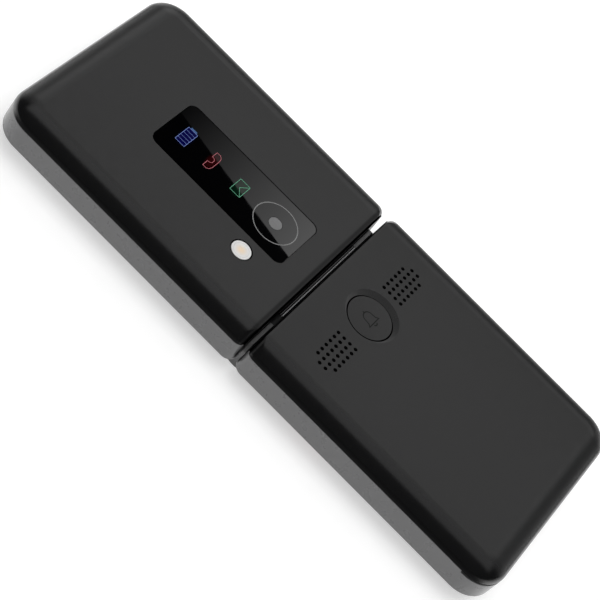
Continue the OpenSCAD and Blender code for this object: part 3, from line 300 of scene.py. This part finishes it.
def paint_band(n, place, shader, base):
    """Painted shade in the hinge gap: black end walls over the hinge, and knuckles painted black at their
    sides and darker along their top.
    """
    across, along, height = n.split(place)
    aside = n.math("ABSOLUTE", along)
    inner = n.remap(n.math("ABSOLUTE", across), *INSIDE_ENDS)
    wall = n.math("MULTIPLY", n.remap(height, *HIGH_WALL_Z), n.remap(aside, *HIGH_WALL_Y))
    knuckle = n.math("MULTIPLY", n.remap(height, *KNUCKLE_Z), n.remap(aside, *KNUCKLE_Y))
    side = n.math("MULTIPLY", knuckle, n.remap(n.off(along, KNUCKLE_TOP_Y), *KNUCKLE_TOP))
    # Painted shade: walls and knuckles in the hinge gap are darkened towards black, with less reflection
    dark = n.math("MULTIPLY", n.math("MAXIMUM", wall, side), inner)
    n.put(shader.inputs["Base Color"], n.mix(dark, base, BAND_SHADE_BLACK))
    n.put(shader.inputs["Specular IOR Level"], n.remap(dark, *BAND_SPECULAR, smooth=False))


# Painted highlight: the y of the two light lines along the barrel's top, and their half widths and
# strengths
BRIGHT_LINE_Y, BRIGHT_LINE = -0.18, (0.05, 0.14, 1.0, 0.0)
FAINT_LINE_Y, FAINT_LINE = 0.28, (0.03, 0.11, 0.3, 0.0)
HIGHLIGHT_GREY = (0.40, 0.40, 0.405, 1)


def paint_barrel(n, place, shader, base):
    """Two painted highlight lines, light grey, along the top of the black barrel."""
    _, along, height = n.split(place)
    bright = n.remap(n.off(along, BRIGHT_LINE_Y), *BRIGHT_LINE)
    faint = n.remap(n.off(along, FAINT_LINE_Y), *FAINT_LINE)
    line = n.math("MULTIPLY", n.math("MAXIMUM", bright, faint), n.remap(height, *KNUCKLE_Z))
    n.put(shader.inputs["Base Color"], n.mix(line, base, HIGHLIGHT_GREY))


DIE_GLOW, DIE_WARM = (0.1, 1.7, 1.0, 0.0), (0.84, 0.68, 0.50, 1)
FLASH_RING_R, FLASH_RING = 1.75, (0.04, 0.14, 0.4, 0.0)
FLASH_RING_GREY = (0.5, 0.48, 0.46, 1)


def paint_flash(n, place, shader, base):
    """A warm die in the middle of the flash lens, with a fine ring round it."""
    away = n.distance(place, FLASH_SPOT, (1, 1, 0))
    warm = n.mix(n.remap(away, *DIE_GLOW), base, DIE_WARM)
    ringed = n.mix(n.remap(n.off(away, FLASH_RING_R), *FLASH_RING), warm, FLASH_RING_GREY)
    n.put(shader.inputs["Base Color"], ringed)


# Middle and half size of the screen's picture
SCREEN_X, SCREEN_Y, SCREEN_HALF_X, SCREEN_HALF_Y = 0.0, 30.4, 18.6, 21.5
SCREEN_EDGE = (-0.05, 0.05, 1.0, 0.0)
SCREEN_GREY = (0.02, 0.022, 0.026, 1)


def paint_screen(n, place, shader, base):
    """The dark grey picture area inside the black border of the screen glass."""
    x, y, _ = n.split(place)
    across = n.math("SUBTRACT", n.off(x, SCREEN_X), SCREEN_HALF_X)
    along = n.math("SUBTRACT", n.off(y, SCREEN_Y), SCREEN_HALF_Y)
    inside = n.remap(n.math("MAXIMUM", across, along), *SCREEN_EDGE)
    n.put(shader.inputs["Base Color"], n.mix(inside, base, SCREEN_GREY))


CELL_CAP_Y = (-23.7, -23.5, 0.0, 1.0)
CELL_CAP_GREY = (0.02, 0.02, 0.022, 1)


def paint_cell(n, place, shader, base):
    """A darker end cap across the hinge end of the battery."""
    cap = n.remap(n.split(place)[1], *CELL_CAP_Y)
    n.put(shader.inputs["Base Color"], n.mix(cap, base, CELL_CAP_GREY))


COVER_BLACK = (0.0058, 0.0058, 0.006)
cover_grain = dict(specular=0.33, rough=0.31, grain=7.0, bump=0.010, vary=0.05, rough_vary=0.02)
COVER = surface("cover_black", COVER_BLACK, edge=hinge_rounding, paint=paint_cover, **cover_grain)
BUTTON = surface("button_black", COVER_BLACK, edge=0.2, paint=paint_button, **cover_grain)
BAND = surface("band_grey", (0.132, 0.132, 0.134), rough=0.28, specular=0.55, grain=9.0, bump=0.001,
               vary=0.01, rough_vary=0.01, edge=0.15, paint=paint_band)
BARREL = surface("barrel_black", (0.001, 0.001, 0.0012), rough=0.16, specular=0.08, grain=5.0,
                 bump=0.002, vary=0.06, paint=paint_barrel)
COLLAR = surface("collar_black", (0.003, 0.003, 0.0032), rough=0.3, specular=0.12, bump=0.006)
GLASS = surface("outer_glass", (0.0006, 0.0006, 0.0008), rough=0.012, specular=0.2, grain=0.4,
                bump=0.0002, vary=0.2, rough_vary=0.004, edge=0.08, paint=paint_outer_glass)
LENS = surface("camera_glass", (0.14, 0.14, 0.142), rough=0.12, grain=3.0, bump=0.001, rough_vary=0.02)
FLASH = surface("flash_frosted", (0.74, 0.735, 0.725), rough=0.3, grain=4.0, bump=0.01, vary=0.02,
                rough_vary=0.04, edge=0.2, paint=paint_flash)
PANEL = surface("panel_black", (0.022, 0.022, 0.024), rough=0.42, grain=8.0, bump=0.01)
KEYS = surface("key_black", (0.012, 0.012, 0.013), rough=0.38, grain=6.0, bump=0.008, edge=0.2)
GREEN = surface("key_green", (0.012, 0.14, 0.05), rough=0.4, grain=6.0, bump=0.008, edge=0.2)
RED = surface("key_red", (0.26, 0.018, 0.018), rough=0.4, grain=6.0, bump=0.008, edge=0.2)
NAV = surface("nav_grey", (0.12, 0.12, 0.123), rough=0.32, grain=7.0, bump=0.006, edge=0.2)
RUBBER = surface("rubber_black", (0.008, 0.008, 0.008), rough=0.7, grain=4.0, bump=0.02)
INNER = surface("inner_plastic", (0.014, 0.014, 0.015), rough=0.5, grain=5.0, bump=0.02)
BOARD = surface("board_green", (0.01, 0.08, 0.035), rough=0.35, grain=1.6, bump=0.012, vary=0.2)
STEEL = surface("plain_steel", (0.5, 0.5, 0.5), rough=0.32, metal=1.0, grain=7.0, bump=0.006,
                stretch=(0.12, 1, 1))
GOLD = surface("gold_plate", (0.6, 0.42, 0.14), rough=0.25, metal=1.0, grain=6.0, bump=0.004)
FLEX = surface("flex_amber", (0.45, 0.2, 0.04), rough=0.3, grain=2.0, bump=0.004, stretch=(1, 6, 1))
WRAP = surface("battery_wrap", (0.05, 0.052, 0.06), rough=0.38, grain=1.5, bump=0.01, paint=paint_cell)
DISPLAY = surface("display_dark", (0.01, 0.01, 0.012), rough=0.2, grain=3.0, bump=0.002)
SCREEN_GLASS = surface("screen_glass", (0.003, 0.003, 0.0035), rough=0.04, grain=0.4, bump=0.0006,
                       rough_vary=0.01, edge=0.1, paint=paint_screen)
MESH = surface("mesh_cloth", (0.004, 0.004, 0.004), rough=0.8, grain=11.0, bump=0.05)
PRINT = surface("print_white", (0.7, 0.7, 0.7), rough=0.45, grain=5.0, bump=0.002, vary=0.03)
DARK_PRINT = surface("print_dark", (0.0015, 0.0015, 0.0015), rough=0.5, specular=0.15, grain=5.0,
                     bump=0.002)
RING = surface("ring_grey", (0.18, 0.18, 0.18), rough=0.25, metal=0.3, grain=5.0, bump=0.001)

DIGITS = ["key_%d" % i for i in range(10)] + ["key_star", "key_hash"]
dress(COVER, "lid_cover", "battery_cover")
dress(BUTTON, "alert_button")
dress(BAND, "base_frame", "lid_frame")
dress(BARREL, "hinge_barrel")
dress(COLLAR, "hinge_cartridge")
dress(GLASS, "outer_window")
dress(LENS, "camera_lens")
dress(FLASH, "flash_lens", "indicator_leds")
dress(PANEL, "keypad_panel")
dress(KEYS, "key_soft_left", "key_soft_right", "key_ok", *DIGITS)
dress(GREEN, "key_call")
dress(RED, "key_end")
dress(NAV, "nav_ring", "volume_key")
dress(RUBBER, "lid_bumpers")
dress(INNER, "battery_tray", "loudspeakers", "camera_module", "indicator_mask", "receiver")
dress(BOARD, "main_board", "lid_board")
dress(STEEL, "shield_cans", "base_screws", "sim_socket", "alert_switch", "usb_port", "volume_switches",
      "hinge_cam", "hinge_pivot", "vibration_motor", "lid_screws")
dress(GOLD, "battery_contacts", "microphone", "flash_led")
dress(FLEX, "dome_sheet", "base_flex", "lid_flex")
dress(WRAP, "battery")
dress(DISPLAY, "display_panel")
dress(SCREEN_GLASS, "display_window")
dress(MESH, "speaker_mesh")


# ---------------------------------------------------------------- small pieces

def flat_piece(name, verts, faces, material, body):
    """A thin printed or inlaid piece. Its vertices are in millimetres in the row frame."""
    mesh = bpy.data.meshes.new(name)
    mesh.from_pydata([Vector(v) * MM for v in verts], [], faces)
    mesh.validate()
    mesh.materials.append(material)
    obj = bpy.data.objects.new(name, mesh)
    scene.collection.objects.link(obj)
    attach(obj, body)


def strokes(lines, width):
    """Ribbons of one width along lines. Each line is (points, closed)."""
    verts, faces = [], []
    for points, closed in lines:
        count = len(points)
        first = len(verts)
        for i, point in enumerate(points):
            here = Vector(point)
            back = Vector(points[i - 1]) if closed or i > 0 else None
            ahead = Vector(points[(i + 1) % count]) if closed or i < count - 1 else None
            ways = []
            if back is not None:
                ways.append((here - back).normalized())
            if ahead is not None:
                ways.append((ahead - here).normalized())
            along = sum(ways, Vector((0, 0))).normalized()
            side = Vector((-along.y, along.x))
            stretch = 1 / max(0.5, abs(side.dot(Vector((-ways[0].y, ways[0].x)))))
            for sign in (-1, 1):
                verts.append(here + side * (sign * width / 2 * stretch))
        for i in range(count if closed else count - 1):
            a = first + 2 * i
            b = first + 2 * ((i + 1) % count)
            faces.append((a, b, b + 1, a + 1))
    return verts, faces


def arc(cx, cy, radius, start, end, steps=24):
    """Points on an arc, by its angles in degrees."""
    return [(cx + radius * math.cos(math.radians(start + (end - start) * i / steps)),
             cy + radius * math.sin(math.radians(start + (end - start) * i / steps)))
            for i in range(steps + 1)]


def rounded_box(cx, cy, width, height, radius, steps=5):
    """Points round a box with round corners."""
    points = []
    for sx, sy, start in ((1, 1, 0), (-1, 1, 90), (-1, -1, 180), (1, -1, 270)):
        points += arc(cx + sx * (width / 2 - radius), cy + sy * (height / 2 - radius),
                      radius, start, start + 90, steps)
    return points


def sign_piece(name, lines, width, height, material, body, fills=()):
    """Ribbons and filled outlines laid flat at one height."""
    verts, faces = strokes(lines, width)
    for points in fills:
        faces.append(tuple(range(len(verts), len(verts) + len(points))))
        verts += [Vector(p) for p in points]
    flat_piece(name, [(v.x, v.y, height) for v in verts], faces, material, body)


def lit(name, rgb, strength):
    """Material of a luminous line."""
    def paint(n, place, shader, base):
        n.put(shader.inputs["Emission Color"], base)
        shader.inputs["Emission Strength"].default_value = strength
    return surface(name, rgb, rough=0.1, specular=0.03, grain=4.0, bump=0.001, vary=0.06, edge=0.02,
                   paint=paint)


# The signs of the window lie just above its glass, each layer a little under the last
SIGN_TOP = WINDOW_TOP + 0.01
LAYER = 0.002
PRINT_LIFT = 0.004
CAMERA_RING_R, CAMERA_RING_LINE = 5.2, 0.23
sign_piece("camera_ring", [(arc(CAMERA_SPOT[0], CAMERA_SPOT[1], CAMERA_RING_R, 0, 355, 71), True)],
           CAMERA_RING_LINE, SIGN_TOP, RING, "lid")

BLUE = lit("lit_blue", (0.12, 0.17, 0.38), 0.25)
SLATE = lit("lit_slate", (0.045, 0.09, 0.20), 0.3)
NAVY = lit("lit_navy", (0.0006, 0.0008, 0.034), 0.4)
ROSE = lit("lit_rose", (0.36, 0.11, 0.13), 0.33)
MINT = lit("lit_mint", (0.10, 0.30, 0.19), 0.30)
SIGN_LINE = 0.11


def battery_sign():
    """A lit battery of five cells with a tip."""
    x, y, _ = ICONS["battery"][0]
    width, height, corner = 5.1, 2.55, 0.08
    outline, bar_line, tip_gap = 0.115, 0.085, 0.05
    tip_w, tip_h = 0.5, 1.55
    cell = rounded_box(x, y, width, height, corner)
    bars = [([(x + i * width / 5, y - height / 2), (x + i * width / 5, y + height / 2)], False)
            for i in (-1.5, -0.5, 0.5, 1.5)]
    tip = rounded_box(x + (width + tip_w) / 2 + tip_gap, y, tip_w, tip_h, corner)
    sign_piece("sign_battery", [(cell, True)], outline, SIGN_TOP, BLUE, "lid")
    sign_piece("sign_battery_bars", bars, bar_line, SIGN_TOP - LAYER, BLUE, "lid")
    sign_piece("sign_battery_fill", [], 0, SIGN_TOP - 2 * LAYER, NAVY, "lid", fills=[cell])
    sign_piece("sign_battery_tip", [], 0, SIGN_TOP, SLATE, "lid", fills=[tip])


def handset_sign():
    """A lit outline of a handset."""
    x, y, _ = ICONS["handset"][0]
    half = [(0.45, -0.25), (0.82, 0.08), (0.92, 0.68), (2.7, 0.68), (2.76, -0.25), (2.3, -0.82),
            (1.4, -1.06)]
    outline = [(x + dx, y + dy) for dx, dy in half] + [(x - dx, y + dy) for dx, dy in reversed(half)]
    sign_piece("sign_handset", [(outline, True)], SIGN_LINE, SIGN_TOP, ROSE, "lid")


def message_sign():
    """A lit envelope, its flap open towards the hinge."""
    x, y, _ = ICONS["message"][0]
    width, height, corner, flap = 4.25, 2.7, 0.1, 0.15
    foot = y - height / 2
    lines = [(rounded_box(x, y, width, height, corner), True),
             ([(x - width / 2, foot), (x, y + flap), (x + width / 2, foot)], False)]
    sign_piece("sign_message", lines, SIGN_LINE, SIGN_TOP, MINT, "lid")


def bell_sign():
    """A plain bell printed on the round button."""
    drop, line_w = 0.1, 0.26
    x, y = BUTTON_SPOT[0], BUTTON_SPOT[1] - drop
    bell = ([(-1.85, -1.2), (-1.35, -0.6), (-1.25, 0.35)] + arc(0, 0.45, 1.25, 175, 5, 16)
            + [(1.25, 0.35), (1.35, -0.6), (1.85, -1.2)])
    clapper = arc(0, -1.35, 0.55, 200, 340, 8)
    knob = [(0.0, 1.75), (0.0, 2.15)]
    lines = [([(x + dx, y + dy) for dx, dy in line], closed)
             for line, closed in ((bell, True), (clapper, False), (knob, False))]
    sign_piece("sign_bell", lines, line_w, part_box("alert_button")[1].z / MM + PRINT_LIFT, DARK_PRINT,
               "alert_button")


battery_sign()
handset_sign()
message_sign()
bell_sign()


# ------------------------------------------------------- key legends, seen from below

def key_spot(node):
    low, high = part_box(node)
    return (low.x + high.x) / 2 / MM, (low.y + high.y) / 2 / MM, low.z / MM


def legend(name, letters, node, size, material):
    """A printed character on a key's face, readable from the keypad side."""
    curve = bpy.data.curves.new(name + "_text", "FONT")
    curve.body = letters
    curve.size = size * MM
    curve.align_x = "CENTER"
    curve.align_y = "CENTER"
    curve.resolution_u = 4
    text = bpy.data.objects.new(name + "_text", curve)
    scene.collection.objects.link(text)
    bpy.context.view_layer.update()
    mesh = bpy.data.meshes.new_from_object(text)
    bpy.data.objects.remove(text)
    cx, cy, cz = key_spot(node)
    turn = Matrix.Translation(Vector((cx, cy, cz - PRINT_LIFT)) * MM) @ Matrix.Diagonal((-1, 1, -1, 1))
    low = Vector((min(v.co.x for v in mesh.vertices), min(v.co.y for v in mesh.vertices), 0))
    high = Vector((max(v.co.x for v in mesh.vertices), max(v.co.y for v in mesh.vertices), 0))
    mesh.transform(turn @ Matrix.Translation(-(low + high) / 2))
    mesh.materials.clear()
    mesh.materials.append(material)
    obj = bpy.data.objects.new(name, mesh)
    scene.collection.objects.link(obj)
    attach(obj, node)


# The asterisk is small in its own letter box
DIGIT_SIZE, STAR_SIZE = 5.2, 7.0
for node in DIGITS:
    mark = {"key_star": "*", "key_hash": "#"}.get(node, node[-1])
    legend("legend_" + node, mark, node, STAR_SIZE if mark == "*" else DIGIT_SIZE, PRINT)


def key_sign(name, node, lines, width, fills=()):
    """Ribbons on a key's face, drawn as seen from the keypad side."""
    cx, cy, cz = key_spot(node)
    def seen(points):
        return [(cx - x, cy + y) for x, y in points]
    sign_piece(name, [(seen(p), c) for p, c in lines], width, cz - PRINT_LIFT, PRINT, node,
               fills=[seen(f) for f in fills])


def phone_outline(tilt):
    """Outline of a handset, turned by tilt degrees."""
    half = [(0.9, 0.05), (1.3, -0.5), (2.5, -0.5), (2.6, 0.25), (2.0, 0.95), (0.9, 1.2)]
    points = half + [(-x, y) for x, y in reversed(half)]
    c, s = math.cos(math.radians(tilt)), math.sin(math.radians(tilt))
    return [(x * c - y * s, x * s + y * c) for x, y in points]


CALL_TILT = 45
SOFT_MARK, SOFT_MARK_LINE = 2.2, 0.5
OK_MARK_R, OK_MARK_LINE = 1.5, 0.35
ARROW = ((-0.8, 5.5), (0.8, 5.5), (0.0, 6.5))
key_sign("legend_key_call", "key_call", [], 0, fills=[phone_outline(CALL_TILT)])
key_sign("legend_key_end", "key_end", [], 0, fills=[phone_outline(0)])
for side in ("left", "right"):
    key_sign("legend_key_soft_" + side, "key_soft_" + side,
             [([(-SOFT_MARK, 0), (SOFT_MARK, 0)], False)], SOFT_MARK_LINE)
key_sign("legend_key_ok", "key_ok", [(arc(0, 0, OK_MARK_R, 0, 350, 35), True)], OK_MARK_LINE)
arrows = []
for c, s in ((1, 0), (0, 1), (-1, 0), (0, -1)):
    arrows.append([(x * c - y * s, x * s + y * c) for x, y in ARROW])
key_sign("legend_nav_ring", "nav_ring", [], 0, fills=arrows)


# ------------------------------------------------------------- floor and world

# Share of the light that the paper throws back, with faint clouds
PAPER_CLOUDS = (0.3, 0.7, 0.79, 0.81)
# To the camera its own shade counts less and its glow more, so that the shadow stays light
PAPER_SEEN = (0.0, 1.0, 1.0, 0.75)
GLOW_SEEN, GLOW_MIRRORED = 0.55, 0.8


def paper():
    """White paper, lit the same everywhere apart from the object's shadow."""
    material = bpy.data.materials.new("floor_paper")
    material.use_nodes = True
    n = Nodes(material.node_tree)
    clouds = n.remap(n.noise(n.place(), 0.2), *PAPER_CLOUDS)
    rays = n.add("ShaderNodeLightPath").outputs
    seen = n.math("MAXIMUM", rays["Is Camera Ray"], rays["Is Transmission Ray"])
    level = n.math("MAXIMUM", n.math("MULTIPLY", seen, GLOW_SEEN),
                   n.math("MULTIPLY", rays["Is Glossy Ray"], GLOW_MIRRORED))
    shade = n.math("MULTIPLY", clouds, n.remap(rays["Is Camera Ray"], *PAPER_SEEN))
    white = n.add("ShaderNodeCombineColor", {0: shade, 1: shade, 2: shade}).outputs[0]
    diffuse = n.add("ShaderNodeBsdfDiffuse", {"Color": white})
    glow = n.add("ShaderNodeEmission", {"Color": (1, 1, 1, 1), "Strength": level})
    both = n.add("ShaderNodeAddShader", {0: diffuse.outputs[0], 1: glow.outputs[0]})
    n.put(n.add("ShaderNodeOutputMaterial").inputs["Surface"], both.outputs[0])
    return material


FLOOR_REACH = 4.0
floor_mesh = bpy.data.meshes.new("floor")
corners = [(x * FLOOR_REACH, y * FLOOR_REACH, 0) for x, y in ((-1, -1), (1, -1), (1, 1), (-1, 1))]
floor_mesh.from_pydata(corners, [], [(0, 1, 2, 3)])
floor_mesh.materials.append(paper())
floor = bpy.data.objects.new("floor", floor_mesh)
scene.collection.objects.link(floor)

# Light of the world by the x, |y| and z of its direction
HORIZON_Z = (0.16, 0.42, 1.0, 0.0)
HORIZON_ENDS_Y = (0.45, 0.85, 0.3, 1.1)
AIR = 0.015
CEILING_Z, CEILING_X = (0.745, 0.79, 0.0, 0.8), (0.02, 0.12, 0.0, 1.0)
SIDE_Y, SIDE_X = (0.2, 0.4, 0.0, 0.35), (0.3, 0.5, 0.0, 1.0)


def studio():
    """A dark room with a white horizon, a pale patch of ceiling and pale sides, white when looked at."""
    world = bpy.data.worlds.new("studio")
    world.use_nodes = True
    n = Nodes(world.node_tree)
    x, y, z = n.split(n.add("ShaderNodeTexCoord").outputs["Generated"])
    aside = n.math("ABSOLUTE", y)
    horizon = n.math("MULTIPLY", n.remap(z, *HORIZON_Z), n.remap(aside, *HORIZON_ENDS_Y))
    ceiling = n.math("MULTIPLY", n.remap(z, *CEILING_Z), n.remap(x, *CEILING_X))
    sides = n.math("MULTIPLY", n.remap(aside, *SIDE_Y), n.remap(x, *SIDE_X))
    level = n.math("ADD", n.math("MAXIMUM", n.math("ADD", horizon, AIR), sides), ceiling)
    rays = n.add("ShaderNodeLightPath").outputs
    seen = n.math("MAXIMUM", rays["Is Camera Ray"], rays["Is Transmission Ray"])
    level = n.math("MAXIMUM", level, seen)
    sky = n.add("ShaderNodeBackground", {"Color": (1, 1, 1, 1), "Strength": level})
    n.put(n.add("ShaderNodeOutputWorld").inputs["Surface"], sky.outputs[0])
    return world


scene.world = studio()


# ---------------------------------------------------------------------- lights

def standing(x, y, z, spot):
    """The matrix of an object with these three axes at a spot."""
    return Matrix(((x.x, y.x, z.x, spot[0]), (x.y, y.y, z.y, spot[1]), (x.z, y.z, z.z, spot[2]),
                   (0, 0, 0, 1)))


def area(name, spot, target, across, size, radiance, glossy=True):
    """A rectangular lamp at spot that faces target, with its width along across."""
    light = bpy.data.lights.new(name, "AREA")
    light.shape = "RECTANGLE"
    light.size, light.size_y = size
    light.energy = radiance * math.pi * size[0] * size[1]
    obj = bpy.data.objects.new(name, light)
    scene.collection.objects.link(obj)
    back = (Vector(spot) - Vector(target)).normalized()
    x = (Vector(across) - back * back.dot(Vector(across))).normalized()
    obj.matrix_world = standing(x, back.cross(x), back, spot)
    obj.visible_camera = False
    obj.visible_glossy = glossy
    return light


# Where the camera stands, in millimetres of the row frame
EYE = Vector((-301.359, -12.569, 303.429))
# Line across the outer window that divides grey from black, by its two ends
MIRROR_LINE = (Vector((3.3, 43.6, WINDOW_TOP)), Vector((-4.1, 7.7, WINDOW_TOP)))
WINDOW_MIDDLE = Vector((0, 25, WINDOW_TOP))
SOFTBOX = (720.0, 300.0)
SOFTBOX_AWAY = 2.4
SOFTBOX_LEVEL = (0.0, 1.0, 1.55, 1.45)


def softbox():
    """A soft box whose straight edge is mirrored along the dividing line of the outer window.

    Its edge passes through the points where the view leaves the window, mirrored in it.
    """
    eye_below = Vector((EYE.x, EYE.y, 2 * WINDOW_TOP - EYE.z))
    ends = [eye_below + (point - eye_below) * SOFTBOX_AWAY for point in MIRROR_LINE]
    edge_way = (ends[0] - ends[1]).normalized()
    middle = (ends[0] + ends[1]) / 2
    facing = (middle - WINDOW_MIDDLE).normalized()
    outward = edge_way.cross(facing).normalized()
    if outward.z > 0:
        outward = -outward
    spot = middle + outward * SOFTBOX[1] / 2
    size = (SOFTBOX[0] * MM, SOFTBOX[1] * MM)
    light = area("softbox", spot * MM, (spot - facing) * MM, edge_way, size, 1.0)
    light.use_nodes = True
    n = Nodes(light.node_tree)
    along = n.split(n.add("ShaderNodeNewGeometry").outputs["Parametric"])[0]
    emission = n.add("ShaderNodeEmission", {"Color": (1, 1, 1, 1),
                                            "Strength": n.remap(along, *SOFTBOX_LEVEL, smooth=False)})
    n.put(n.add("ShaderNodeOutputLight").inputs["Surface"], emission.outputs[0])


FILL_SPOT, FILL_SIZE, FILL_RADIANCE = (-0.25, -0.1, 1.1), (1.0, 1.0), 2.9
softbox()
area("fill_top", FILL_SPOT, (0, 0, 0), (1, 0, 0), FILL_SIZE, FILL_RADIANCE, glossy=False)

# ---------------------------------------------------------------------- camera

# Its axes, as the perspective of the object's edges gives them
RIGHT = Vector((0.51496, -0.70593, 0.48616)).normalized()
FORWARD = Vector((0.70724, 0.02946, -0.70635)).normalized()
camera_data = bpy.data.cameras.new("camera")
camera_data.sensor_width = 36.0
camera_data.lens = 123.414
camera_data.clip_start = 0.01
camera_data.clip_end = 20.0
camera = bpy.data.objects.new("camera", camera_data)
scene.collection.objects.link(camera)
scene.camera = camera
camera.matrix_world = standing(RIGHT, RIGHT.cross(FORWARD).normalized(), -FORWARD, EYE * MM)

bpy.context.view_layer.update()
